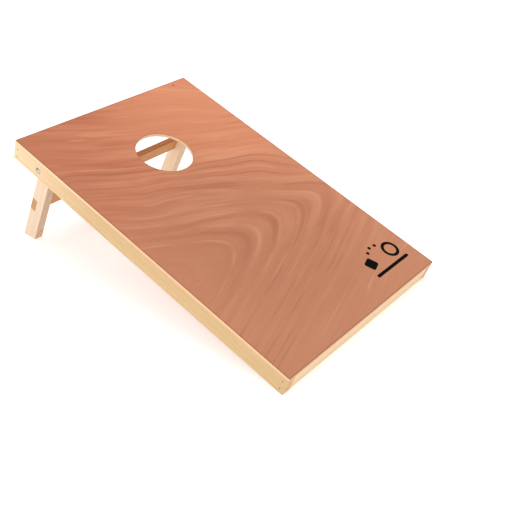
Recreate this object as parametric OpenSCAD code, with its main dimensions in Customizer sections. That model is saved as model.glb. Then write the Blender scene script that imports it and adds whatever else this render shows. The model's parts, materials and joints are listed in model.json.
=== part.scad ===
// Cornhole board: a plywood deck with a bag hole, on a frame of pine rails.
// Two pine legs joined by a crossbar prop up its back and fold in under the deck.
// Sizes are in millimetres and +Z is up. The origin is on the ground under the middle
// of the board, and +Y runs from the low front edge to the high back edge.

/* [Deck] */
// Width of the board, side to side
board_w = 600; // [450:10:720]
// Length of the board, front edge to back edge
board_l = 900; // [750:10:1220]
// Angle between the deck and the ground with the legs out
board_tilt = 16; // [12:0.5:20]
// Thickness of the plywood
deck_t = 9; // [6:0.5:15]
// Diameter of the bag hole
hole_d = 152; // [110:1:190]
// Centre of the bag hole from the back edge
hole_from_back = 225; // [200:5:300]

/* [Frame rails] */
// Thickness of the rails
rail_t = 24; // [18:1:32]
// Height of the rails under the deck
rail_h = 46; // [38:1:64]

/* [Legs] */
// Thickness of the legs, side to side
leg_t = 24; // [18:1:32]
// Lean of the open legs from square to the deck, foot towards the back
leg_lean = 7; // [0:0.5:12]
// Space above and below the legs when they lie folded between deck and floor
fold_gap = 2; // [1:0.5:4]
// Gap between the top of an open leg and the deck that it bears on
stop_gap = 0.5; // [0.3:0.1:1]
// Pivot from the back edge
pivot_from_back = 92; // [70:1:140]

/* [Crossbar] */
// Thickness of the crossbar, which is the depth of its notches
bar_t = 18; // [12:1:22]
// Height of the crossbar, along the legs
bar_h = 38; // [28:1:45]
// Top edge of the crossbar from the pivot, along the legs
bar_from_pivot = 130; // [100:1:140]

/* [Pivot bolts] */
// Diameter of the bolt
bolt_d = 6; // [5:0.5:8]
// Diameter of the domed head
bolt_head_d = 16; // [14:0.5:20]
// Height of the domed head
bolt_head_h = 3.3; // [2.5:0.1:4.5]
// Length of the square neck under the head
bolt_neck_l = 4; // [3:0.5:6]
// Bolt left beyond the nut
bolt_end = 2; // [1:0.5:6]
// Radial clearance of a leg on its bolt
bolt_play = 0.08; // [0.02:0.01:0.1]
// Radial clearance of the bolt in the rail and the washers
bolt_drill = 0.25; // [0.1:0.05:0.5]
// Side play of a leg on each of its faces
side_play = 0.3; // [0.3:0.1:0.8]
// Outer diameter of the washers
washer_d = 20; // [14:0.5:24]
// Thickness of the washer between rail and leg
spacer_t = 2.5; // [1:0.1:4]
// Thickness of the washer under the nut
washer_t = 1.6; // [1:0.1:3]
// Width of the nut across its flats
nut_af = 10; // [10:0.5:14]
// Height of the hexagon of the nut
nut_h = 4.4; // [3:0.1:7]
// Height of the round collar that holds the nut's nylon ring
nut_collar_h = 1.8; // [1:0.1:3]

/* [Fixings] */
// Diameter of the corner nails
nail_d = 2.2; // [1.6:0.1:3]
// Diameter of a corner nail's head
nail_head_d = 3.4; // [3:0.1:5]
// Height of a corner nail's head
nail_head_h = 1.4; // [0.8:0.1:3]
// Length of the corner nails
nail_l = 50; // [36:1:60]
// Corner nails from the top and bottom edges of the rail
nail_edge = 12; // [8:1:16]
// Diameter of the deck pins
pin_d = 1.4; // [1:0.1:2]
// Length of the deck pins
pin_l = 30; // [20:1:35]
// Depth that the deck pins are punched below the surface
pin_set = 1.2; // [0.6:0.1:2]
// Diameter of the filler over a deck pin
filler_d = 2.6; // [2:0.1:4]
// Deck pins from the outer edge of the deck
pin_inset = 15; // [8:0.5:16]
// First and last deck pin of a row from the corner
pin_from_corner = 58; // [56:1:66]
// Deck pins along each side rail
pins_per_side = 6; // [4:1:9]
// Deck pins along the front and back rails
pins_per_end = 4; // [3:1:6]
// Diameter of the crossbar screws
screw_d = 4; // [3:0.5:5]
// Diameter of a crossbar screw's countersunk head
screw_head_d = 8; // [7.5:0.5:10]
// Length of the crossbar screws
screw_l = 35; // [26:1:38]
// Distance between the two screws at each end of the crossbar
screw_pitch = 18; // [12:1:20]

/* [Hidden] */

$fn = 64;
LEFT = -1;
RIGHT = 1;
CUT = 1;  // how far a cutting shape runs past the face that it opens

// Frame: side rails run the full length, and the end rails sit between them
board_depth = rail_h + deck_t;
end_rail_l = board_w - 2 * rail_t;

// Legs: the width leaves the folding gap above and below, between deck and floor
leg_w = rail_h - 2 * fold_gap;
leg_half = leg_w / 2;
leg_gap = spacer_t + side_play;
leg_outer_x = board_w / 2 - rail_t - leg_gap;

// Pivot: in the middle of the side rail, first on the board and then above the ground
pivot_along = board_l - pivot_from_back;
pivot_up = rail_h / 2;
pivot_y = pivot_along * cos(board_tilt) - pivot_up * sin(board_tilt);
pivot_z = pivot_along * sin(board_tilt) + pivot_up * cos(board_tilt);

// Foot: the leg is cut off along the ground, from the toe in front to the heel behind
leg_angle = board_tilt + leg_lean;
toe_l = (pivot_z - leg_half * sin(leg_angle)) / cos(leg_angle);
heel_l = (pivot_z + leg_half * sin(leg_angle)) / cos(leg_angle);

// Leg top: a round about the pivot that ends in a flat under the deck
top_r = rail_h - pivot_up - stop_gap;
top_flat = [top_r * sin(leg_lean), top_r * cos(leg_lean)];
top_corner = (top_r - leg_half * sin(leg_lean)) / cos(leg_lean);

// Middle of the whole board, from its top front edge to the heels of its legs
front_y = -board_depth * sin(board_tilt);
heel_y = pivot_y + leg_half * cos(leg_angle) + heel_l * sin(leg_angle);
middle_y = (front_y + heel_y) / 2;

// Pivot bolt, measured inwards from the outer face of the side rail
leg_inner_at = rail_t + leg_gap + leg_t;
nut_washer_at = leg_inner_at + side_play;
nut_at = nut_washer_at + washer_t;
bolt_l = nut_at + nut_h + nut_collar_h + bolt_end;
head_sphere_r = (bolt_head_d * bolt_head_d / 4 + bolt_head_h * bolt_head_h) / (2 * bolt_head_h);
nut_corner_d = nut_af / cos(30);
nut_collar_d = nut_af * 0.92;

// Rows of deck pins along the side rails and along the end rails
side_pin_pitch = (board_l - 2 * pin_from_corner) / (pins_per_side - 1);
end_pin_pitch = (board_w - 2 * pin_from_corner) / (pins_per_end - 1);

// ---- Places ----

// The board: y from its front edge, z from the underside of its rails
module on_board() {
    translate([0, -middle_y, 0])
        rotate([board_tilt, 0, 0])
            children();
}

// The open legs: z up along them from the pivot, y towards their rear edges
module on_legs() {
    translate([0, pivot_y - middle_y, pivot_z])
        rotate([leg_angle, 0, 0])
            children();
}

// One side of the board: the children are drawn for the right-hand side
module on_side(side) {
    mirror([side == LEFT ? 1 : 0, 0, 0])
        children();
}

// The pivot: z inwards along the bolt, from the outer face of the side rail
module at_pivot(side) {
    on_board()
        on_side(side)
            translate([board_w / 2, pivot_along, pivot_up])
                rotate([0, -90, 0])
                    children();
}

// The two nails of a corner: z inwards from the outer face of the side rail
module at_corner_nails(side, along) {
    on_board()
        on_side(side)
            for (up = [nail_edge, rail_h - nail_edge])
                translate([board_w / 2, along, up])
                    rotate([0, -90, 0])
                        children();
}

// The pins along a side rail or along an end rail: z up, from the top of the deck
module at_side_pins(side) {
    on_board()
        on_side(side)
            for (i = [0 : pins_per_side - 1])
                translate([board_w / 2 - pin_inset, pin_from_corner + i * side_pin_pitch, board_depth])
                    children();
}

module at_end_pins(along) {
    on_board()
        for (i = [0 : pins_per_end - 1])
            translate([pin_from_corner - board_w / 2 + i * end_pin_pitch, along, board_depth])
                children();
}

module at_all_pins() {
    at_side_pins(LEFT) children();
    at_side_pins(RIGHT) children();
    at_end_pins(pin_inset) children();
    at_end_pins(board_l - pin_inset) children();
}

// The two screws at one end of the crossbar: z forwards from the legs' rear edges
module at_crossbar_screws(side) {
    on_legs()
        on_side(side)
            for (step = [-0.5, 0.5])
                translate([leg_outer_x - leg_t / 2, leg_half, step * screw_pitch - bar_from_pivot - bar_h / 2])
                    rotate([90, 0, 0])
                        children();
}

// ---- Fixings, each drawn once: the piece and the hole that it fills are the same ----

module nail() {
    cylinder(d = nail_head_d, h = nail_head_h);
    cylinder(d = nail_d, h = nail_l);
}

module pin() {
    translate([0, 0, -pin_set - pin_l])
        cylinder(d = pin_d, h = pin_l);
}

module pin_filler() {
    translate([0, 0, -pin_set])
        cylinder(d = filler_d, h = pin_set);
}

module screw() {
    cylinder(d1 = screw_head_d, d2 = screw_d, h = (screw_head_d - screw_d) / 2);
    cylinder(d = screw_d, h = screw_l);
}

module bolt_neck(length) {
    translate([-bolt_d / 2, -bolt_d / 2, 0])
        cube([bolt_d, bolt_d, length]);
}

module washer(thickness) {
    difference() {
        cylinder(d = washer_d, h = thickness);
        translate([0, 0, -CUT])
            cylinder(r = bolt_d / 2 + bolt_drill, h = thickness + 2 * CUT);
    }
}

// ---- Deck ----

module deck() {
    color([0.81, 0.53, 0.40])
        difference() {
            on_board()
                translate([-board_w / 2, 0, rail_h])
                    cube([board_w, board_l, deck_t]);
            on_board()
                translate([0, board_l - hole_from_back, rail_h - CUT])
                    cylinder(d = hole_d, h = deck_t + 2 * CUT);
            at_all_pins() pin();
            at_all_pins() pin_filler();
        }
}

module deck_pin_filler() {
    color([0.72, 0.40, 0.30])
        at_all_pins() pin_filler();
}

// ---- Frame rails ----

module side_rail(side) {
    color([0.93, 0.77, 0.57])
        difference() {
            on_board()
                on_side(side)
                    translate([board_w / 2 - rail_t, 0, 0])
                        cube([rail_t, board_l, rail_h]);
            at_pivot(side) {
                translate([0, 0, -CUT])
                    cylinder(r = bolt_d / 2 + bolt_drill, h = rail_t + 2 * CUT);
                translate([0, 0, -CUT])
                    bolt_neck(bolt_neck_l + CUT);
            }
            at_corner_nails(side, rail_t / 2) nail();
            at_corner_nails(side, board_l - rail_t / 2) nail();
            at_side_pins(side) pin();
        }
}

module end_rail(from_front, nails_along, pins_along) {
    color([0.91, 0.75, 0.55])
        difference() {
            on_board()
                translate([-end_rail_l / 2, from_front, 0])
                    cube([end_rail_l, rail_t, rail_h]);
            at_corner_nails(LEFT, nails_along) nail();
            at_corner_nails(RIGHT, nails_along) nail();
            at_end_pins(pins_along) pin();
        }
}

// ---- Legs ----

// Side view of a leg, with the pivot at its origin
module leg_outline() {
    intersection() {
        union() {
            circle(r = top_r);
            polygon([
                [-leg_half, 0], [-leg_half, -toe_l], [leg_half, -heel_l], [leg_half, top_corner], top_flat
            ]);
        }
        translate([-leg_half, -heel_l])
            square([leg_w, heel_l + leg_w]);
    }
}

module leg(side) {
    color([0.95, 0.84, 0.68])
        difference() {
            on_legs()
                on_side(side)
                    translate([leg_outer_x - leg_t, 0, 0])
                        rotate([90, 0, 90])
                            linear_extrude(height = leg_t)
                                leg_outline();
            at_pivot(side)
                translate([0, 0, rail_t])
                    cylinder(r = bolt_d / 2 + bolt_play, h = leg_gap + leg_t + CUT);
            on_legs()
                on_side(side)
                    translate([leg_outer_x - leg_t - CUT, leg_half - bar_t, -bar_from_pivot - bar_h])
                        cube([leg_t + 2 * CUT, bar_t + CUT, bar_h]);
            at_crossbar_screws(side) screw();
        }
}

module leg_crossbar() {
    color([0.74, 0.52, 0.34])
        difference() {
            on_legs()
                translate([-leg_outer_x, leg_half - bar_t, -bar_from_pivot - bar_h])
                    cube([2 * leg_outer_x, bar_t, bar_h]);
            at_crossbar_screws(LEFT) screw();
            at_crossbar_screws(RIGHT) screw();
        }
}

// ---- Pivot hardware: domed bolt, spacer washer, nut washer and lock nut ----

module pivot_bolt(side) {
    color("silver")
        at_pivot(side) {
            intersection() {
                translate([0, 0, head_sphere_r - bolt_head_h])
                    sphere(r = head_sphere_r);
                translate([0, 0, -bolt_head_h])
                    cylinder(d = bolt_head_d, h = bolt_head_h);
            }
            bolt_neck(bolt_neck_l);
            cylinder(d = bolt_d, h = bolt_l);
        }
}

module spacer_washer(side) {
    color("silver")
        at_pivot(side)
            translate([0, 0, rail_t])
                washer(spacer_t);
}

module nut_washer(side) {
    color("silver")
        at_pivot(side)
            translate([0, 0, nut_washer_at])
                washer(washer_t);
}

module lock_nut(side) {
    color("silver")
        at_pivot(side)
            translate([0, 0, nut_at])
                difference() {
                    union() {
                        cylinder(d = nut_corner_d, h = nut_h, $fn = 6);
                        cylinder(d = nut_collar_d, h = nut_h + nut_collar_h);
                    }
                    translate([0, 0, -CUT])
                        cylinder(d = bolt_d, h = nut_h + nut_collar_h + 2 * CUT);
                }
}

// ---- Nails, pins and screws ----

module corner_nails(side, along) {
    color("darkgray")
        at_corner_nails(side, along) nail();
}

module side_pins(side) {
    color("darkgray")
        at_side_pins(side) pin();
}

module end_pins(along) {
    color("darkgray")
        at_end_pins(along) pin();
}

module crossbar_screws(side) {
    color("gold")
        at_crossbar_screws(side) screw();
}

deck();
deck_pin_filler();
side_rail(LEFT);  // rail_left
side_rail(RIGHT);  // rail_right
end_rail(0, rail_t / 2, pin_inset);  // rail_front
end_rail(board_l - rail_t, board_l - rail_t / 2, board_l - pin_inset);  // rail_back
leg(LEFT);  // leg_left
leg(RIGHT);  // leg_right
leg_crossbar();
pivot_bolt(LEFT);  // pivot_bolt_left
pivot_bolt(RIGHT);  // pivot_bolt_right
spacer_washer(LEFT);  // spacer_washer_left
spacer_washer(RIGHT);  // spacer_washer_right
nut_washer(LEFT);  // nut_washer_left
nut_washer(RIGHT);  // nut_washer_right
lock_nut(LEFT);  // lock_nut_left
lock_nut(RIGHT);  // lock_nut_right
corner_nails(LEFT, rail_t / 2);  // corner_nails_front_left
corner_nails(RIGHT, rail_t / 2);  // corner_nails_front_right
corner_nails(LEFT, board_l - rail_t / 2);  // corner_nails_back_left
corner_nails(RIGHT, board_l - rail_t / 2);  // corner_nails_back_right
side_pins(LEFT);  // deck_pins_left
side_pins(RIGHT);  // deck_pins_right
end_pins(pin_inset);  // deck_pins_front
end_pins(board_l - pin_inset);  // deck_pins_back
crossbar_screws(LEFT);  // crossbar_screws_left
crossbar_screws(RIGHT);  // crossbar_screws_right
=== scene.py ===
import json
from math import atan2, cos, hypot, pi, radians, sin

import bmesh
import bpy
from mathutils import Matrix, Vector


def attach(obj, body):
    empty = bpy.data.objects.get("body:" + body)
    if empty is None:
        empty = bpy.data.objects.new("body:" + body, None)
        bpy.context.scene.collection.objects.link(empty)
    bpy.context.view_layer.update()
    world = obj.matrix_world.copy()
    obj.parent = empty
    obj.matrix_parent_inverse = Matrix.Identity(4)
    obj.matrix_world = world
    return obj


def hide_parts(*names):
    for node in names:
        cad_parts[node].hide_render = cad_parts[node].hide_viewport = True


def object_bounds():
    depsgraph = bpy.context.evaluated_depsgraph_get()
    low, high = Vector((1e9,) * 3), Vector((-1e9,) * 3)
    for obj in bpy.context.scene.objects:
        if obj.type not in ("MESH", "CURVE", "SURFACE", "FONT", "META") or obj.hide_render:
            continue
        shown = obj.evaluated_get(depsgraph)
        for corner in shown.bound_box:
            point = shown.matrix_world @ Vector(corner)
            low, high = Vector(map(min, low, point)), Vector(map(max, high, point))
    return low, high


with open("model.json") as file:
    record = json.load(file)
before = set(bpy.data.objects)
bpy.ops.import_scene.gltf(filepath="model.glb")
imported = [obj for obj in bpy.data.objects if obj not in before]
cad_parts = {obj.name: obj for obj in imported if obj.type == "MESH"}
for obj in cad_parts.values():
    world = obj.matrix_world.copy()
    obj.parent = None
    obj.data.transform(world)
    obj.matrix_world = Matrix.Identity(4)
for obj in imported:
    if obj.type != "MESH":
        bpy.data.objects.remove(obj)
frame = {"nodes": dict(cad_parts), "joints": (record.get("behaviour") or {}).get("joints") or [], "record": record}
cad_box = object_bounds()

# ---- Camera ----
# It stands off the board's left front corner, about two metres away, and looks down on the deck
# through a medium-long lens.
bpy.ops.object.camera_add(
    location=(-1.368, -1.150, 1.181), rotation=(radians(57.46), radians(-2.01), radians(-49.22))
)
camera = bpy.context.object
camera.name = "camera"
camera.data.lens = 58.0
camera.data.sensor_width = 36.0
camera.data.shift_x = 0.057
camera.data.shift_y = -0.019
bpy.context.scene.camera = camera
bpy.context.scene.view_settings.view_transform = "Standard"

# ---- Studio ----
# The board stands on pale paper in a soft white surround. Two large lamps hang above it and to
# its left, and two weak ones near the paper light its left side and its front edge.
MM = 0.001


class Value:
    """What a socket of a shader node gives out. Sums on it add the Math nodes for them."""

    def __init__(self, finish, socket):
        self.finish = finish
        self.socket = socket

    def part(self, name):
        """Another socket of the same node."""
        return Value(self.finish, self.socket.node.outputs[name])

    def math(self, operation, *others):
        return self.finish.make("Math", {"operation": operation}, dict(enumerate([self, *others])))

    def reflected(self, operation, other):
        return self.finish.make("Math", {"operation": operation}, {0: other, 1: self})

    def __add__(self, other):
        return self.math("ADD", other)

    def __sub__(self, other):
        return self.math("SUBTRACT", other)

    def __mul__(self, other):
        return self.math("MULTIPLY", other)

    def __truediv__(self, other):
        return self.math("DIVIDE", other)

    def __pow__(self, other):
        return self.math("POWER", other)

    def __gt__(self, other):
        return self.math("GREATER_THAN", other)

    def __lt__(self, other):
        return self.math("LESS_THAN", other)

    def __radd__(self, other):
        return self.reflected("ADD", other)

    def __rsub__(self, other):
        return self.reflected("SUBTRACT", other)

    def __rmul__(self, other):
        return self.reflected("MULTIPLY", other)

    def __rtruediv__(self, other):
        return self.reflected("DIVIDE", other)

    def __abs__(self):
        return self.math("ABSOLUTE")

    def at_least(self, other):
        return self.math("MAXIMUM", other)

    def at_most(self, other):
        return self.math("MINIMUM", other)

    def step(self, start, end):
        """0 before start and 1 after end, with a smooth rise between them."""
        ends = {"Value": self, "From Min": start, "From Max": end}
        return self.finish.make("MapRange", {"interpolation_type": "SMOOTHSTEP"}, ends)

    def band(self, middle, half_width):
        """1 at the middle and 0 further from it than the half width."""
        return 1 - abs(self - middle).step(0, half_width)

    def ramp(self, stops):
        """A colour for each value: stops is a list of (value, colour)."""
        return self.finish.make("ValToRGB", {"stops": stops}, {0: self})


class Finish:
    """A material, and the one way in which its nodes are added."""

    def __init__(self, name):
        self.material = bpy.data.materials.new(name)
        self.material.use_nodes = True
        self.tree = self.material.node_tree
        self.shader = self.tree.nodes["Principled BSDF"]

    def make(self, kind, settings, inputs, output=0):
        node = self.tree.nodes.new("ShaderNode" + kind)
        for name, setting in settings.items():
            if name == "stops":
                stops = node.color_ramp.elements
                while len(stops) < len(setting):
                    stops.new(1.0)
                for stop, (position, colour) in zip(stops, setting):
                    stop.position = position
                    stop.color = colour
            else:
                setattr(node, name, setting)
        self.join(node, inputs)
        return Value(self, node.outputs[output])

    def join(self, node, inputs):
        for name, value in inputs.items():
            if isinstance(value, Value):
                self.tree.links.new(value.socket, node.inputs[name])
            else:
                node.inputs[name].default_value = value

    def look(self, **sockets):
        """Sets the shader: Base_Color=..., Roughness=... and so on."""
        self.join(self.shader, {name.replace("_", " "): value for name, value in sockets.items()})

    def vector(self, x, y, z):
        return self.make("CombineXYZ", {}, {"X": x, "Y": y, "Z": z})

    def noise(self, x, y, z, detail=2.0, roughness=0.5):
        """Smooth noise about 0.5, where each coordinate is in lengths of its own waves."""
        waves = {"Vector": self.vector(x, y, z), "Scale": 1.0, "Detail": detail, "Roughness": roughness}
        return self.make("TexNoise", {}, waves)

    def mix(self, factor, first, second, blend="MIX"):
        """The first colour where the factor is 0, and the second or their product where it is 1."""
        settings = {"data_type": "RGBA", "blend_type": blend}
        return self.make("Mix", settings, {0: factor, 6: first, 7: second}, output=2)

    def bump(self, height, distance):
        return self.make("Bump", {}, {"Strength": 1.0, "Distance": distance, "Height": height})

    def coordinates(self, start=(0, 0, 0), turn=0.0):
        """The object's own coordinates in millimetres, in the board's or the legs' own frame."""
        own = self.make("TexCoord", {}, {}, output="Object")
        in_frame = {"Vector": own, "Location": start, "Rotation": (turn, 0, 0), "Scale": (MM, MM, MM)}
        placed = self.make("Mapping", {"vector_type": "TEXTURE"}, in_frame)
        along_x = self.make("SeparateXYZ", {}, {0: placed})
        return along_x, along_x.part("Y"), along_x.part("Z")


def shade(red, green, blue):
    """A colour as a paint chart gives it, from 0 to 255, for a socket."""
    parts = [part / 255 for part in (red, green, blue)]
    return [part / 12.92 if part < 0.04 else ((part + 0.055) / 1.055) ** 2.4 for part in parts] + [1.0]


floor_size = 40.0
bpy.ops.mesh.primitive_plane_add(size=floor_size)
floor = bpy.context.object
floor.name = "floor"

paper = Finish("floor_paper")
x, y, z = paper.coordinates()
fibres = paper.noise(x / 3, y / 3, z, detail=3)
paper.look(
    Base_Color=paper.mix(fibres, shade(247, 247, 247), shade(252, 252, 252)),
    Roughness=0.8 + 0.1 * fibres,
    Specular_IOR_Level=0.1,
    Emission_Color=(1, 1, 1, 1),
    Emission_Strength=0.4,
)
floor.data.materials.append(paper.material)

surround = bpy.data.worlds.new("surround")
surround.use_nodes = True
white_glow = surround.node_tree.nodes["Background"].inputs
white_glow["Color"].default_value = (1, 1, 1, 1)
white_glow["Strength"].default_value = 0.62
bpy.context.scene.world = surround

board_middle = (cad_box[0] + cad_box[1]) / 2


def softbox(name, away, width, height, watts):
    """A lamp behind a soft sheet, which faces the board from a place away from its middle."""
    bpy.ops.object.light_add(type="AREA", location=board_middle + Vector(away))
    lamp = bpy.context.object
    lamp.name = name
    lamp.data.shape = "RECTANGLE"
    lamp.data.size = width
    lamp.data.size_y = height
    lamp.data.energy = watts
    lamp.rotation_euler = Vector(away).to_track_quat("Z", "Y").to_euler()


softbox("lamp_top", (0.4, 0.3, 2.6), 2.4, 2.4, 29)
softbox("lamp_left", (-2.2, -0.6, 1.5), 2.0, 2.0, 18)
softbox("lamp_low", (-1.8, 0.1, 0.0), 1.4, 0.26, 5)
softbox("lamp_front", (0.2, -2.4, 0.1), 1.6, 0.4, 1)

# ---- Deck ----
# A sheet of plywood, five plies thick, with a round hole for the bags. Its faces are thin peeled
# veneers of a reddish tropical wood whose grain runs across the board, and its inner plies are
# pale. It is sanded and has a thin satin varnish.
LEFT = -1
RIGHT = 1

# The board leans back on its legs. Its own frame starts in the middle of its front edge and runs
# back along the foot of its rails, so it is tilted as the left rail's lower edge is.
rail_points = [vertex.co for vertex in frame["nodes"]["rail_left"].data.vertices]
front_foot = min(rail_points, key=lambda point: point.z)
back_foot = max(rail_points, key=lambda point: point.y)
tilt = atan2(back_foot.z - front_foot.z, back_foot.y - front_foot.y)
board_start = Vector((0, front_foot.y, 0))
board_place = Matrix.Translation(board_start) @ Matrix.Rotation(tilt, 4, "X")


def spread(node, place):
    """The lowest and the highest corner of a CAD node in the board's or the legs' own frame."""
    points = [place.inverted() @ vertex.co for vertex in frame["nodes"][node].data.vertices]
    low = Vector([min(point[axis] for point in points) for axis in range(3)])
    high = Vector([max(point[axis] for point in points) for axis in range(3)])
    return low, high


deck_low, deck_high = (corner / MM for corner in spread("deck", board_place))
deck_half_w = deck_high.x
deck_l = deck_high.y
deck_t = deck_high.z - deck_low.z
deck_middle_z = (deck_low.z + deck_high.z) / 2
bore = next(mount for mount in frame["record"]["mounts"] if mount["name"] == "bag_hole")
hole_r = bore["dims"]["r_mm"]
hole_at = (board_place.inverted() @ Vector(bore["pos_m"])).y / MM
face_ply_t = 1.1
inner_ply_t = (deck_t - 2 * face_ply_t) / 3
eased_r = 0.5
pin_inset = 15.0
pin_from_corner = 58.0
pins_per_side = 6
pins_per_end = 4
side_pitch = (deck_l - 2 * pin_from_corner) / (pins_per_side - 1)
end_pitch = 2 * (deck_half_w - pin_from_corner) / (pins_per_end - 1)
pocket_r = 1.3
pocket_depth = 1.2
closeness = 0.01 * MM


def select_only(piece):
    """Makes a piece the only one that the operators act on."""
    bpy.ops.object.select_all(action="DESELECT")
    piece.select_set(True)
    bpy.context.view_layer.objects.active = piece


def added(name):
    """The primitive that was added last, under a name of its own."""
    piece = bpy.context.object
    piece.name = name
    piece.data.name = name
    select_only(piece)
    return piece


def block(name, low, high):
    """A square block between two corners."""
    bpy.ops.mesh.primitive_cube_add(size=1, location=(low + high) / 2)
    piece = added(name)
    piece.scale = high - low
    bpy.ops.object.transform_apply()
    return piece


def pick(piece, kind, wanted):
    """In edit mode, selects only those edges or faces of a piece that pass a test."""
    bpy.ops.mesh.select_mode(type=kind)
    bpy.ops.mesh.select_all(action="DESELECT")
    drawn = bmesh.from_edit_mesh(piece.data)
    for part in drawn.edges if kind == "EDGE" else drawn.faces:
        part.select_set(wanted(part))
    bmesh.update_edit_mesh(piece.data)


def combine(piece, operation, tool):
    """Cuts a piece with a tool, or adds the tool to it, and takes the tool away."""
    modifier = piece.modifiers.new(operation.lower(), "BOOLEAN")
    modifier.operation = operation
    modifier.object = tool
    select_only(piece)
    bpy.ops.object.modifier_apply(modifier=modifier.name)
    bpy.data.objects.remove(tool)


def copies(name, source, places):
    """One piece made of a copy of the source at each place, which takes the source away."""
    bpy.ops.object.select_all(action="DESELECT")
    made = []
    for place in places:
        copy = source.copy()
        copy.data = source.data.copy()
        copy.matrix_world = place
        bpy.context.scene.collection.objects.link(copy)
        copy.select_set(True)
        made.append(copy)
    bpy.context.view_layer.objects.active = made[0]
    if len(made) > 1:
        bpy.ops.object.join()
    bpy.data.objects.remove(source)
    piece = added(name)
    bpy.ops.object.transform_apply()
    return piece


def fit(piece, place, body, finish, nodes):
    """Puts a finished piece in its place in the frame, in place of its CAD nodes."""
    select_only(piece)
    piece.matrix_world = place
    bpy.ops.object.transform_apply()
    bpy.ops.object.shade_smooth_by_angle(angle=radians(40))
    shading = piece.modifiers.new("shading", "WEIGHTED_NORMAL")
    shading.weight = 100
    bpy.ops.object.modifier_apply(modifier=shading.name)
    if finish:
        piece.data.materials.append(finish.material)
    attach(piece, body)
    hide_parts(*nodes)


def is_rim_edge(edge):
    """One of the short straight edges that make up the two rims of the hole."""
    first, second = (vertex.co for vertex in edge.verts)
    from_wall = [abs((end.xy - hole_middle.xy).length - hole_r * MM) for end in (first, second)]
    return max(from_wall) < closeness and abs(first.z - second.z) < closeness


deck = block("plywood_deck", deck_low * MM, deck_high * MM)
bpy.ops.object.mode_set(mode="EDIT")
bpy.ops.mesh.select_all(action="SELECT")
bpy.ops.mesh.bevel(offset=eased_r * MM, segments=3, affect="EDGES")
bpy.ops.object.mode_set(mode="OBJECT")

saw_h = 20.0
hole_middle = Vector((0, hole_at, deck_middle_z)) * MM
bpy.ops.mesh.primitive_cylinder_add(
    vertices=128, radius=hole_r * MM, depth=saw_h * MM, location=hole_middle
)
combine(deck, "DIFFERENCE", added("hole_saw"))
bpy.ops.object.mode_set(mode="EDIT")
pick(deck, "EDGE", is_rim_edge)
bpy.ops.mesh.bevel(offset=eased_r * MM, segments=3, affect="EDGES")
bpy.ops.object.mode_set(mode="OBJECT")

bpy.ops.mesh.primitive_cylinder_add(vertices=32, radius=pocket_r * MM, depth=2 * pocket_depth * MM)
pocket_places = []
for side in (LEFT, RIGHT):
    for step in range(pins_per_side):
        pocket_places.append((side * (deck_half_w - pin_inset), pin_from_corner + step * side_pitch))
for end in (pin_inset, deck_l - pin_inset):
    for step in range(pins_per_end):
        pocket_places.append((pin_from_corner - deck_half_w + step * end_pitch, end))
pockets = copies(
    "pockets",
    added("pocket"),
    [Matrix.Translation(Vector((at_x, at_y, deck_high.z)) * MM) for at_x, at_y in pocket_places],
)
combine(deck, "DIFFERENCE", pockets)

ply = Finish("red_faced_plywood")
x, y, z = ply.coordinates(board_start, tilt)
across = x + deck_half_w


def apart(first, second):
    """The straight distance, from its two parts at right angles."""
    return (first ** 2 + second ** 2) ** 0.5


def limb(flare, bluntness):
    """How far a ring has run back at this rise: steep with a great flare, round with bluntness."""
    return apart(flare * rise, bluntness) - bluntness


def oval_patch(middle, half_size):
    """1 in the middle of an oval patch of the deck and 0 outside it."""
    away = ((x - middle[0]) / half_size[0]) ** 2 + ((y - middle[1]) / half_size[1]) ** 2
    return 1 - away.at_most(1)


def ring_lines(place, rings_at, sharp_side, soft_side):
    """1 on each of the rings that stand out, and 0 between them."""
    stops = [(0.0, shade(0, 0, 0))]
    for ring_at in rings_at:
        for offset, light in ((sharp_side, 0), (0, 255), (soft_side, 0)):
            stops.append(((ring_at + offset) / arch_span, shade(light, light, light)))
    return (place / arch_span).ramp(stops)


# The figure is one arch of growth rings that points right, a little over a third of the way up
# the deck. A ring's number is how far its tip lies from the left edge, in mm, and rise is how far
# a point is above the tips.
arch_at = 344.0
arch_span = 1000.0
pale_rings = (196, 290, 372, 446, 540, 646, 740, 856)
dark_rings = (470, 600, 700, 772, 818)
wander = 46 * (ply.noise(x / 230, y / 190, 0.5, detail=1) - 0.5)
rise = y - arch_at + 0.6 * wander
bend_over_hole = y.step(660, 800) * (across - 430).at_least(0) ** 2 / 200
sag_on_right = 0.4 * (across - 300).at_least(0) * rise.step(90, 230)
upper = limb(2.3, 81) + bend_over_hole - sag_on_right
lower = limb(3.4, 280)
is_upper = rise > 0
swirl = 60 * oval_patch((280, 730), (150, 95)) ** 2
arch = across + is_upper * upper + (1 - is_upper) * lower + wander + swirl

rings = ply.noise(arch / 46, x / 300, y / 300, detail=2, roughness=0.5)
stripes = ply.noise(arch / 9, x / 150, y / 170, detail=2)
fades = ply.noise(x / 120, y / 70, 3.1, detail=1).step(0.35, 0.65)
dark_fades = ply.noise(x / 130, y / 90, 8.8, detail=1).step(0.4, 0.6)
for clear_middle, clear_size in (((170, 560), (230, 130)), ((-190, 690), (170, 100))):
    dark_fades = dark_fades.at_least(1.5 * oval_patch(clear_middle, clear_size))
pale_lines = ring_lines(arch, pale_rings, -14, 8)
dark_lines = ring_lines(arch + 8 * (rings - 0.5), dark_rings, -15, 6)
far_lines = ply.noise(arch / 64, x / 500, 5.5, detail=1).band(0.55, 0.03) * arch.step(880, 960)

# Fibres and pores lie along the grain, which leans a little with the arch.
lean = y + 0.2 * (x - deck_half_w) * ((y - arch_at) / 220).at_most(1).at_least(-1)
fibres = ply.noise(x / 34, lean / 0.8, z / 3, detail=2)
pores = ply.noise(x / 9, lean / 0.45, z / 2, detail=1).step(0.66, 0.8)
dark_flecks = ply.noise(x / 12, lean, 7.7, detail=0).step(0.79, 0.86)

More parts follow.
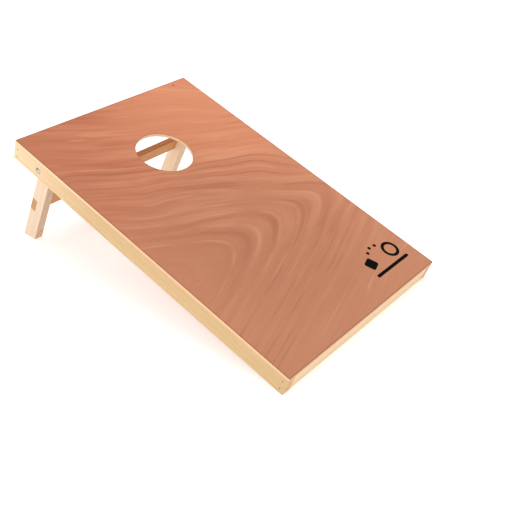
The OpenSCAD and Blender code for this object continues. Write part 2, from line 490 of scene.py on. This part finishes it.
patches = ply.noise(x / 200, y / 140, 6.1, detail=1).step(0.36, 0.62)
strength = (0.3 + 0.7 * patches) * (0.25 + 0.75 * arch.step(110, 300)) * (0.3 + 0.7 * y.step(80, 330))
tone = strength * (rings - 0.5 + 0.2 * (stripes - 0.5)) + 0.22 * (fibres - 0.5) + 0.5

# The veneer is redder towards the back, paler towards the right, and darkest inside the arch.
# These tints are partly the veneer's own colour and partly painted light and shade: painted lighter at the back
# right and darker in the middle towards the front.
left_to_right = across.step(60, 560)
front_to_back = y.step(0, deck_l)
front_shade = ply.mix(left_to_right, shade(198, 126, 89), shade(208, 134, 97))
back_shade = ply.mix(left_to_right, shade(192, 104, 62), shade(228, 138, 95))
face_shade = ply.mix(front_to_back, front_shade, back_shade)
belly = oval_patch((0, 330), (330, 330))
face_shade = ply.mix(0.55 * belly, face_shade, shade(180, 106, 70))
dark_wood = ply.mix(1.0, face_shade, shade(228, 220, 213), "MULTIPLY")
light_wood = ply.mix(0.14, face_shade, shade(255, 220, 180))
face = ply.mix(tone.step(0.1, 0.9), dark_wood, light_wood)
to_back = 0.3 + 0.7 * y.step(60, 300)
face = ply.mix(0.24 * pale_lines * fades * to_back, face, shade(236, 172, 136))
face = ply.mix(0.4 * dark_lines * dark_fades, face, shade(156, 90, 58))
face = ply.mix(0.3 * far_lines * fades, face, shade(240, 176, 144))
face = ply.mix(0.3 * pores, face, shade(140, 82, 58))
face = ply.mix(0.4 * dark_flecks, face, shade(128, 74, 52))


def to_nearest(value, first, pitch):
    """Distance along a row of pins from the nearest one."""
    return (value - first).math("WRAP", pitch / 2, -pitch / 2)


# Each deck pin is punched below the face and stopped with filler, which leaves a smear. One of
# them, at the back right corner, is redder than the rest.
from_side_row = abs(abs(x) - (deck_half_w - pin_inset))
from_end_row = abs(abs(y - deck_l / 2) - (deck_l / 2 - pin_inset))
side_pins = apart(from_side_row, to_nearest(y, pin_from_corner, side_pitch))
end_pins = apart(from_end_row, to_nearest(across, pin_from_corner, end_pitch))
from_pin = side_pins.at_most(end_pins) + 1.6 * (stripes - 0.5)
some_pins = ply.noise(x / 60, y / 60, 4.4, detail=0).step(0.42, 0.62)
smears = (1 - from_pin.step(2.2, 4.2)) * (0.1 + 0.4 * some_pins)
from_red_pin = apart(x - (deck_half_w - pin_from_corner), y - (deck_l - pin_inset))
red_smear = 1 - (from_red_pin + 3 * (stripes - 0.5)).step(3.6, 5.6)
face = ply.mix(smears, face, shade(206, 112, 84))
face = ply.mix(0.85 * red_smear, face, shade(198, 84, 58))

# The face is darker along its edges and around the hole.
from_hole = apart(x, y - hole_at) - hole_r
from_edge = (deck_half_w - abs(x)).at_most(deck_l / 2 - abs(y - deck_l / 2))
edge_darkening = 1 - from_edge.step(1, 4.4)
rim_darkening = 1 - from_hole.step(0.6, 3.0)
face = ply.mix(0.55 * edge_darkening, face, shade(134, 92, 66))
face = ply.mix(0.4 * rim_darkening, face, shade(138, 90, 62))

# The underside is a plainer veneer, unvarnished and a little paler.
under_rings = ply.noise(x / 420, (y + 1.3 * wander) / 17, 9.2, detail=3, roughness=0.6)
under = ply.mix(under_rings.step(0.3, 0.7), shade(176, 124, 94), shade(208, 158, 124))
under = ply.mix(0.3 * pores, under, shade(120, 76, 54))
is_top = z > deck_middle_z
veneer = ply.mix(is_top, under, face)

# Under the face veneer the plies lie crosswise in turn, with thin glue lines between them. End
# grain is darker than long grain, and the plies are a little duller towards the front.
saw_waver = 0.25 * (ply.noise(x / 14, y / 14, 2.2, detail=2) - 0.5)
depth = deck_t / 2 - abs(z - deck_middle_z) + saw_waver
in_core = depth > face_ply_t
in_middle = depth > face_ply_t + inner_ply_t
on_side = abs(x) > deck_half_w - 1
is_rim = from_hole < 3
end_of_x_grain = is_rim * (abs(x) / hole_r) + (1 - is_rim) * on_side
end_grain = in_middle * end_of_x_grain + (1 - in_middle) * (1 - end_of_x_grain)
long_streaks = ply.noise(x / 30, y / 30, z / 0.35, detail=2)
end_specks = ply.noise(x / 0.6, y / 0.6, z / 0.5, detail=2)
long_shade = ply.mix(long_streaks.step(0.2, 0.8), shade(240, 200, 156), shade(252, 224, 188))
end_shade = ply.mix(end_specks.step(0.2, 0.8), shade(226, 184, 142), shade(246, 212, 174))
core = ply.mix(end_grain, long_shade, end_shade)
# The plies are darkened towards the front: partly their own tone and partly painted shade.
ply_front_tint_and_shade = y.step(880, 420)
core = ply.mix(ply_front_tint_and_shade, core, shade(243, 228, 222), "MULTIPLY")
glue = depth.band(face_ply_t, 0.12) + depth.band(face_ply_t + inner_ply_t, 0.12)
core = ply.mix(0.4 * glue.at_most(1), core, shade(160, 108, 74))
dents = 0.5 * pores + 0.6 * dark_flecks
ply.look(
    Base_Color=ply.mix(in_core, veneer, core),
    Roughness=0.46 + 0.12 * fibres + 0.2 * in_core + 0.15 * (1 - is_top),
    Specular_IOR_Level=0.35,
    Normal=ply.bump(0.6 * fibres + 0.25 * rings - dents, 0.12 * MM),
)
fit(deck, board_place, "board", ply, ["deck"])

# ---- Printed mark ----
# A small black pictogram, screen-printed near the front right corner: a bag on its way along an
# arc to a hole, over a bar. The ink is a thin film that is worn through in specks.
mark_at = Vector((194, 94))
ink_up = deck_high.z - 0.04
ink_t = 0.08
bag_size = 31.0
bag_corner_r = 6.0
bag_at = (-47, -1)
bag_turn = radians(18)
hole_mark_at = (44, 2)
hole_mark_r = 25.0
hole_mark_line = 8.5
dot_r = 4.8
dots_at = [(-23, 27), (-4, 36), (17, 34)]
bar_l = 139.0
bar_w = 9.0
bar_corner_r = 4.4
bar_at = (0, -37)


def on_mark(at, turn=0.0):
    """A place on the deck, from the middle of the mark."""
    middle_of_shape = Vector((mark_at.x + at[0], mark_at.y + at[1], ink_up)) * MM
    return Matrix.Translation(middle_of_shape) @ Matrix.Rotation(turn, 4, "Z")


def thicken(piece):
    """Turns a flat shape into a film of ink."""
    bpy.ops.object.mode_set(mode="EDIT")
    bpy.ops.mesh.select_all(action="SELECT")
    bpy.ops.mesh.extrude_region_move(TRANSFORM_OT_translate={"value": (0, 0, ink_t * MM)})
    bpy.ops.mesh.select_all(action="SELECT")
    bpy.ops.mesh.normals_make_consistent(inside=False)
    bpy.ops.object.mode_set(mode="OBJECT")


def rounded_slab(name, width, height, corner):
    """A film of ink with four round corners."""
    bpy.ops.mesh.primitive_plane_add(size=1)
    piece = added(name)
    piece.scale = (width * MM, height * MM, 1)
    bpy.ops.object.transform_apply()
    bpy.ops.object.mode_set(mode="EDIT")
    bpy.ops.mesh.select_all(action="SELECT")
    bpy.ops.mesh.bevel(offset=corner * MM, segments=8, affect="VERTICES")
    bpy.ops.object.mode_set(mode="OBJECT")
    thicken(piece)
    return piece


bag = rounded_slab("bag", bag_size, bag_size, bag_corner_r)
bag_mark = copies("bag_mark", bag, [on_mark(bag_at, bag_turn)])
bar = rounded_slab("bar", bar_l, bar_w, bar_corner_r)
bar_mark = copies("bar_mark", bar, [on_mark(bar_at)])

bpy.ops.mesh.primitive_circle_add(vertices=32, radius=dot_r * MM, fill_type="NGON")
dot = added("dot")
thicken(dot)
dot_marks = copies("dot_marks", dot, [on_mark(at) for at in dots_at])

bpy.ops.mesh.primitive_circle_add(vertices=64, radius=hole_mark_r * MM, fill_type="NGON")
hole_mark = added("hole_mark")
bpy.ops.object.mode_set(mode="EDIT")
bpy.ops.mesh.select_all(action="SELECT")
bpy.ops.mesh.inset(thickness=hole_mark_line * MM)
bpy.ops.mesh.delete(type="FACE")
bpy.ops.object.mode_set(mode="OBJECT")
thicken(hole_mark)
hole_mark.matrix_world = on_mark(hole_mark_at)

ink = Finish("worn_black_ink")
x, y, z = ink.coordinates(board_start, tilt)
wear = ink.noise(x / 1.6, y / 1.1, z, detail=4, roughness=0.65)
speckle = wear.step(0.68, 0.76)
black = ink.mix(wear, shade(2, 2, 2), shade(12, 10, 9))
ink.look(
    Base_Color=ink.mix(speckle, black, shade(120, 80, 60)),
    Roughness=0.6 + 0.25 * wear,
    Specular_IOR_Level=0.06,
    Normal=ink.bump(wear, 0.04 * MM),
)
bpy.ops.object.select_all(action="DESELECT")
for shape in (bag_mark, bar_mark, dot_marks, hole_mark):
    shape.select_set(True)
bpy.context.view_layer.objects.active = hole_mark
bpy.ops.object.join()
mark = added("printed_mark")
bpy.ops.object.transform_apply()
mark.matrix_world = board_place
bpy.ops.object.transform_apply()
mark.data.materials.append(ink.material)
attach(mark, "board")

# ---- Filler over the deck pins ----
# Red-brown wood filler, pressed into the hole over each punched pin and sanded flush with the
# deck before it is varnished.


def give(node, finish):
    """Puts a finish on a CAD node in place of the frame's plain one."""
    piece = frame["nodes"][node]
    for place in piece.material_slots:
        place.material = finish.material


filler = Finish("red_filler")
x, y, z = filler.coordinates(board_start, tilt)
grit = filler.noise(x / 0.5, y / 0.5, z / 0.5, detail=3)
filler.look(
    Base_Color=filler.mix(grit, shade(194, 104, 76), shade(208, 120, 92)),
    Roughness=0.6 + 0.2 * grit,
    Normal=filler.bump(grit, 0.08 * MM),
)
give("deck_pin_filler", filler)

# ---- Rails ----
# Planed pine strips on edge under the deck. The side rails run the whole length and the end
# rails fit between them, so the side rails' own end grain shows at the board's front and back.
sawn_edge_r = 0.8


def ease_edges(node, radius):
    """Rounds the sharp edges of a CAD node, as a pass with sandpaper does."""
    piece = frame["nodes"][node]
    weld = piece.modifiers.new("weld", "WELD")
    weld.merge_threshold = 0.002 * MM
    flat_faces = piece.modifiers.new("flat_faces", "DECIMATE")
    flat_faces.decimate_type = "DISSOLVE"
    flat_faces.angle_limit = radians(1)
    bevel = piece.modifiers.new("eased_edges", "BEVEL")
    bevel.width = radius * MM
    bevel.segments = 3
    bevel.limit_method = "ANGLE"
    bevel.angle_limit = radians(50)
    bevel.use_clamp_overlap = False
    shading = piece.modifiers.new("shading", "WEIGHTED_NORMAL")
    shading.weight = 100
    shading.use_face_influence = False


def softwood(name, start, turn, grain, ends, heart, ring, colours, slant=0.0, fades=(), flames=()):
    """Sawn wood, solid all through: rings round a heart that lies along the grain.
    grain names the axis that the tree grew along, ends are where the piece is cut off along it,
    heart is the tree's middle in the other two axes, and slant tips it along the piece. ring is
    the width of a year, and colours are its early wood, its late wood, the end grain and the warm
    streaks. fades are tints (axis, start, end, tint) that come in along an axis, and flames are
    patches of wild grain (middle, length, width)."""
    finish = Finish(name)
    places = dict(zip("XYZ", finish.coordinates(start, turn)))
    along = places[grain]
    first, second = [place for axis, place in places.items() if axis != grain]
    wave = finish.noise(along / 260, first / 90, second / 90, detail=2)
    ripple = finish.noise(along / 60, first / 16, second / 16, detail=2)
    from_first = first - heart[0] - slant * along + 22 * (wave - 0.5)
    years = apart(from_first, second - heart[1]) / ring + 1.1 * (ripple - 0.5)
    year = years.math("FLOOR")
    season = years - year
    strength = finish.noise(year * 0.73, 0.5, 0.5, detail=0).step(0.25, 0.75)
    late = season.step(0.35, 0.9) * (1 - season.step(0.93, 1.0)) * (0.35 + 0.65 * strength)
    fibre = finish.noise(along / 28, first / 0.7, second / 0.7, detail=3)
    streak = finish.noise(along / 90, first / 5, second / 5, detail=2)
    ducts = finish.noise(along / 7, first / 0.4, second / 0.4, detail=0).step(0.76, 0.84)
    pale, dark, end, warm = colours
    body = finish.mix(0.75 * late, pale, dark)
    body = finish.mix(0.4 * streak.step(0.35, 0.75), body, warm)
    for axis, start_at, end_at, tint in fades:
        body = finish.mix(places[axis].step(start_at, end_at), body, tint, "MULTIPLY")
    fibre_tint = fibre.step(0.2, 0.8).ramp([(0, shade(205, 205, 205)), (1, shade(255, 255, 255))])
    body = finish.mix(0.28, body, fibre_tint, "MULTIPLY")
    body = finish.mix(0.5 * ducts, body, dark)
    for at, length, width in flames:
        tilted = first - at.x - 0.16 * (along - at.z)
        spot = ((along - at.z) / length) ** 2 + (tilted / width) ** 2 + ((second - at.y) / width) ** 2
        flame_edge = (spot + 0.8 * (streak - 0.5)).band(0.8, 0.4)
        body = finish.mix(0.5 * (1 - spot.step(0.5, 0.9)), body, shade(214, 156, 116))
        body = finish.mix(0.75 * flame_edge, body, shade(158, 102, 72))
    to_end = (along - ends[0]).at_most(ends[1] - along)
    is_end = 1 - to_end.step(0.25, 0.6)
    specks = finish.noise(along / 0.5, first / 0.5, second / 0.5, detail=2)
    end_body = finish.mix(late, end, dark)
    end_body = finish.mix(0.3 * specks, end_body, shade(120, 84, 56))
    relief = 0.7 * fibre + 0.3 * late - 0.6 * ducts + is_end * specks
    finish.look(
        Base_Color=finish.mix(is_end, body, end_body),
        Roughness=0.5 + 0.14 * fibre + 0.2 * is_end,
        Normal=finish.bump(relief, 0.12 * MM),
    )
    return finish


pine = (shade(244, 212, 172), shade(218, 174, 122), shade(224, 182, 136), shade(236, 200, 152))
side_ends = (0, deck_l)
end_rail_low, end_rail_high = (corner / MM for corner in spread("rail_front", board_place))
end_ends = (end_rail_low.x, end_rail_high.x)
# The side rails are darker towards the front: partly the pine's own tone and partly painted shade.
front_tint_and_shade = [("Y", 1000, 560, shade(216, 208, 187))]
rail_woods = {
    "rail_left": {"grain": "Y", "ends": side_ends, "heart": (-395, -22), "ring": 3.4, "slant": 0.012},
    "rail_right": {"grain": "Y", "ends": side_ends, "heart": (412, -64), "ring": 3.1, "slant": -0.008},
    "rail_front": {"grain": "X", "ends": end_ends, "heart": (-60, -30), "ring": 3.1, "slant": 0.01},
    "rail_back": {"grain": "X", "ends": end_ends, "heart": (985, -12), "ring": 3.1, "slant": 0.01},
}
for node, wood in rail_woods.items():
    if wood["grain"] == "Y":
        wood["fades"] = front_tint_and_shade
    ease_edges(node, sawn_edge_r)
    give(node, softwood("pine_" + node, board_start, tilt, colours=pine, **wood))

# ---- Corner nails and deck pins ----
# Two plain steel nails through each side rail into the end of an end rail. Their small heads are
# punched level with the wood and each has a dimple from the punch. The deck pins are hidden.


def turned(name, profile, sides):
    """A closed piece turned about the Z axis from a profile of (height, radius) in mm."""
    height, radius = profile[0]
    place = (0, 0, height * MM)
    bpy.ops.mesh.primitive_circle_add(vertices=sides, radius=radius * MM, fill_type="NGON", location=place)
    piece = added(name)
    bpy.ops.object.transform_apply()
    bpy.ops.object.mode_set(mode="EDIT")
    bpy.ops.mesh.select_mode(type="FACE")
    bpy.ops.mesh.select_all(action="SELECT")
    for next_height, next_radius in profile[1:]:
        move = (0, 0, (next_height - height) * MM)
        bpy.ops.mesh.extrude_region_move(TRANSFORM_OT_translate={"value": move})
        share = next_radius / radius
        middle_of_face = (0, 0, next_height * MM)
        bpy.ops.transform.resize(value=(share, share, 1), center_override=middle_of_face)
        height, radius = next_height, next_radius
    bpy.ops.mesh.select_all(action="SELECT")
    bpy.ops.mesh.normals_make_consistent(inside=False)
    bpy.ops.object.mode_set(mode="OBJECT")
    return piece


nail_head_r = 1.7
nail_profile = [
    (0.3, 0.3), (0.12, 0.7), (0.05, 0.9), (0.05, 1.5), (0.2, nail_head_r), (1.0, nail_head_r),
    (1.4, 1.1), (46, 1.1), (50, 0.1),
]

nail_steel = Finish("plain_nail_steel")
x, y, z = nail_steel.coordinates(board_start, tilt)
tarnish = nail_steel.noise(x / 0.8, y / 0.8, z / 0.8, detail=3)
nail_steel.look(
    Base_Color=nail_steel.mix(tarnish.step(0.3, 0.7), shade(92, 89, 85), shade(136, 132, 126)),
    Metallic=1.0,
    Roughness=0.35 + 0.3 * tarnish,
    Normal=nail_steel.bump(tarnish, 0.04 * MM),
)
for end in ("front", "back"):
    for side, side_name in ((LEFT, "left"), (RIGHT, "right")):
        node = "corner_nails_" + end + "_" + side_name
        low, high = spread(node, board_place)
        along = (low.y + high.y) / 2
        turn_in = Matrix.Rotation(-side * pi / 2, 4, "Y")
        places = [
            Matrix.Translation((side * deck_half_w * MM, along, up)) @ turn_in
            for up in (low.z + nail_head_r * MM, high.z - nail_head_r * MM)
        ]
        nails = copies("lost_head_nails_" + end + "_" + side_name, turned("nail", nail_profile, 24), places)
        fit(nails, board_place, "board", nail_steel, [node])
for row in ("left", "right", "front", "back"):
    give("deck_pins_" + row, nail_steel)

# ---- Legs ----
# Two pine legs with round tops, which turn on a bolt each. They are notched at the rear for the
# crossbar, and their feet are sawn off along the ground. The left one has wild grain at its foot.

# The legs' own frame hangs from the pivot, along the legs.
leg_fold = next(joint for joint in frame["joints"] if joint["name"] == "leg_fold")
leg_angle = tilt + radians(leg_fold["range_deg"][1] - 90)
pivot = Vector(leg_fold["pos_m"])
leg_place = Matrix.Translation(pivot) @ Matrix.Rotation(leg_angle, 4, "X")

leg_ring = 3.6
leg_slant = 0.03
left_pine = (shade(232, 207, 180), shade(186, 140, 104), shade(204, 160, 118), shade(227, 190, 160))
right_pine = (shade(250, 226, 196), shade(222, 180, 136), shade(226, 184, 140), shade(248, 216, 178))
for node, heart, leg_pine in (("leg_left", (-240, -60), left_pine), ("leg_right", (300, 40), right_pine)):
    low, high = (corner / MM for corner in spread(node, leg_place))
    foot_patch = (Vector(((low.x + high.x) / 2 + 2, low.y, low.z + 24)), 26, 9)
    # Each leg's front face is tinted a little darker: painted shade, for the board above that shades it.
    wood = softwood(
        "pine_" + node, pivot, leg_angle, "Z", (low.z, high.z), heart, leg_ring, leg_pine, leg_slant,
        fades=[("Y", low.y + 1.6, low.y + 0.4, shade(236, 232, 228))],
        flames=[foot_patch] if node == "leg_left" else [],
    )
    ease_edges(node, sawn_edge_r)
    give(node, wood)

# ---- Crossbar ----
# A browner, coarser bar of softwood that joins the legs. It is let into the notches in their
# rear edges, so its end grain shows at the outside of each leg.
bar_low, bar_high = (corner / MM for corner in spread("leg_crossbar", leg_place))
bar_ends = (bar_low.x, bar_high.x)
bar_heart = (-30, -190)
bar_ring = 4.2
bar_slant = 0.05
bar_wood = (shade(220, 162, 106), shade(172, 110, 62), shade(200, 152, 108), shade(202, 140, 84))
bar_finish = softwood(
    "brown_crossbar", pivot, leg_angle, "X", bar_ends, bar_heart, bar_ring, bar_wood, bar_slant
)
ease_edges("leg_crossbar", sawn_edge_r)
give("leg_crossbar", bar_finish)

# ---- Crossbar screws ----
# Two yellow-zinc countersunk screws at each end hold the crossbar in its notches. They are
# driven in from behind, and each head has a cross for the driver.
screw_head_r = 4.0
screw_r = 2.0
screw_core_r = 1.35
screw_pitch = 1.8
thread_start = 9.0
thread_end = 31.0
screw_tip = 34.8
slot_half_l = 2.3
slot_half_w = 0.45
slot_depth = 1.7
shank_r = screw_r - 0.1
screw_profile = [(0.05, 3.7), (0.25, screw_head_r), (2.1, shank_r), (thread_start, shank_r)]
thread_turns = int((thread_end - thread_start) / screw_pitch)
for turn in range(thread_turns):
    at = thread_start + turn * screw_pitch
    screw_profile += [(at + 0.25, screw_core_r), (at + 1.3, screw_core_r), (at + 1.6, screw_r)]
screw_profile += [(thread_end + 0.8, screw_core_r), (screw_tip, 0.1)]
screw = turned("screw", screw_profile, 32)
for turn in (0, pi / 2):
    tool_low = Vector((-slot_half_l, -slot_half_w, -1)) * MM
    tool_high = Vector((slot_half_l, slot_half_w, slot_depth)) * MM
    slot_tool = block("slot_tool", tool_low, tool_high)
    bpy.ops.object.mode_set(mode="EDIT")
    pick(slot_tool, "FACE", lambda face: face.normal.z > 0.9)
    bpy.ops.transform.resize(value=(0.35, 0.8, 1), center_override=(0, 0, slot_depth * MM))
    bpy.ops.object.mode_set(mode="OBJECT")
    slot_tool.matrix_world = Matrix.Rotation(turn, 4, "Z")
    combine(screw, "DIFFERENCE", slot_tool)

yellow_zinc = Finish("yellow_zinc_screws")
x, y, z = yellow_zinc.coordinates(pivot, leg_angle)
stain = yellow_zinc.noise(x / 1.5, y / 1.5, z / 1.5, detail=3)
yellow_zinc.look(
    Base_Color=yellow_zinc.mix(stain.step(0.3, 0.7), shade(196, 162, 92), shade(226, 200, 138)),
    Metallic=1.0,
    Roughness=0.24 + 0.2 * stain,
    Normal=yellow_zinc.bump(stain, 0.03 * MM),
)
turn_forwards = Matrix.Rotation(pi / 2, 4, "X")
for side_name in ("left", "right"):
    node = "crossbar_screws_" + side_name
    low, high = spread(node, leg_place)
    places = [
        Matrix.Translation(((low.x + high.x) / 2, high.y, up)) @ turn_forwards
        for up in (low.z + screw_head_r * MM, high.z - screw_head_r * MM)
    ]
    source = screw.copy()
    source.data = screw.data.copy()
    screws = copies("countersunk_screws_" + side_name, source, places)
    fit(screws, leg_place, "legs", yellow_zinc, [node])
bpy.data.objects.remove(screw)

# ---- Pivot bolts, washers and lock nuts ----
# Each leg turns on a zinc-plated coach bolt, with its domed head outside the side rail and its
# square neck in the wood. Inside are a thick washer, the leg, a thin washer and a nut with a
# nylon ring that keeps it from working loose.
bolt_r = 3.0
bolt_core_r = 2.55
bolt_head_r = 8.0
bolt_head_h = 3.3
head_rim_h = 0.7
neck_l = 4.0
bolt_thread_start = 46.0
dome_steps = 12
bolt_end = spread("pivot_bolt_left", board_place)[1] / MM
bolt_l = bolt_end.x + deck_half_w
pivot_at = board_place.inverted() @ pivot

dome_h = bolt_head_h - head_rim_h
dome_r = (bolt_head_r ** 2 + dome_h ** 2) / (2 * dome_h)
dome_sweep = atan2(bolt_head_r, dome_r - dome_h)
bolt_profile = []
for step in range(1, dome_steps + 1):
    sweep = dome_sweep * step / dome_steps
    bolt_profile.append((dome_r * (1 - cos(sweep)) - bolt_head_h, dome_r * sin(sweep)))
bolt_profile += [(-0.2, bolt_head_r), (0, bolt_head_r - 0.2), (0, bolt_r), (bolt_thread_start, bolt_r)]
for turn in range(int(bolt_l - bolt_thread_start - 1)):
    at = bolt_thread_start + turn
    bolt_profile += [(at + 0.35, bolt_core_r), (at + 0.55, bolt_core_r), (at + 0.9, bolt_r)]
bolt_profile += [(bolt_l - 0.6, bolt_r), (bolt_l, bolt_r - 0.6)]

zinc = Finish("bright_zinc")
x, y, z = zinc.coordinates(board_start, tilt)
from_axis = apart(y - pivot_at.y / MM, z - pivot_at.z / MM)
spangle = zinc.noise(x / 1.2, y / 1.2, z / 1.2, detail=3)
lathe_lines = zinc.noise(from_axis / 0.12, x / 3, 0.5, detail=1)
zinc.look(
    Base_Color=zinc.mix(spangle.step(0.2, 0.8), shade(150, 152, 154), shade(186, 188, 190)),
    Metallic=1.0,
    Roughness=0.22 + 0.12 * spangle + 0.05 * lathe_lines,
    Normal=zinc.bump(0.5 * lathe_lines + 0.2 * spangle, 0.01 * MM),
)
nylon = Finish("nylon_ring")
x, y, z = nylon.coordinates(board_start, tilt)
moulding = nylon.noise(x / 0.6, y / 0.6, z / 0.6, detail=2)
nylon.look(
    Base_Color=nylon.mix(moulding, shade(214, 222, 228), shade(236, 240, 243)),
    Roughness=0.4 + 0.15 * moulding,
    Normal=nylon.bump(moulding, 0.03 * MM),
)

washer_edge_r = 0.2
nut_half_flat = 5.0
nut_corner_r = nut_half_flat / cos(radians(30))
nut_h = 4.4
chamfer_h = 0.5
collar_h = 1.8
collar_r = 4.6
ring_r = collar_r - 0.95
for side, side_name in ((LEFT, "left"), (RIGHT, "right")):
    at_pivot = Matrix.Translation((side * deck_half_w * MM, pivot_at.y, pivot_at.z))
    inwards = board_place @ at_pivot @ Matrix.Rotation(-side * pi / 2, 4, "Y")

    bolt = turned("coach_bolt_" + side_name, bolt_profile, 48)
    neck_low = Vector((-bolt_r, -bolt_r, -0.5)) * MM
    combine(bolt, "UNION", block("neck", neck_low, Vector((bolt_r, bolt_r, neck_l)) * MM))
    fit(bolt, inwards, "board", zinc, ["pivot_bolt_" + side_name])

    for node in ("spacer_washer_" + side_name, "nut_washer_" + side_name):
        ease_edges(node, washer_edge_r)
        give(node, zinc)

    nut_node = "lock_nut_" + side_name
    low, high = (corner / MM for corner in spread(nut_node, board_place))
    nut_at = deck_half_w - max(abs(low.x), abs(high.x))
    nut_top = nut_at + nut_h
    collar_top = nut_top + collar_h
    nut = turned("lock_nut_body_" + side_name, [(nut_at, nut_corner_r), (nut_top, nut_corner_r)], 6)
    chamfer = [
        (nut_at, 4.9), (nut_at + chamfer_h, 5.85), (nut_top - chamfer_h, 5.85), (nut_top, 4.9),
    ]
    combine(nut, "INTERSECT", turned("chamfer", chamfer, 64))
    collar = [
        (nut_top - 0.5, collar_r), (collar_top - 0.6, collar_r), (collar_top - 0.2, collar_r - 0.2),
        (collar_top, collar_r - 0.7), (collar_top, collar_r - 1.0), (collar_top - 0.3, collar_r - 1.1),
    ]
    combine(nut, "UNION", turned("collar", collar, 64))
    bore_profile = [(nut_at - 1, bolt_r), (collar_top + 1, bolt_r)]
    combine(nut, "DIFFERENCE", turned("tap", bore_profile, 48))
    nut.data.materials.append(zinc.material)
    nut.data.materials.append(nylon.material)
    for face in nut.data.polygons:
        face_at = face.center / MM
        if face_at.z > collar_top - 0.35 and hypot(face_at.x, face_at.y) < ring_r:
            face.material_index = 1
    fit(nut, inwards, "board", None, [nut_node])
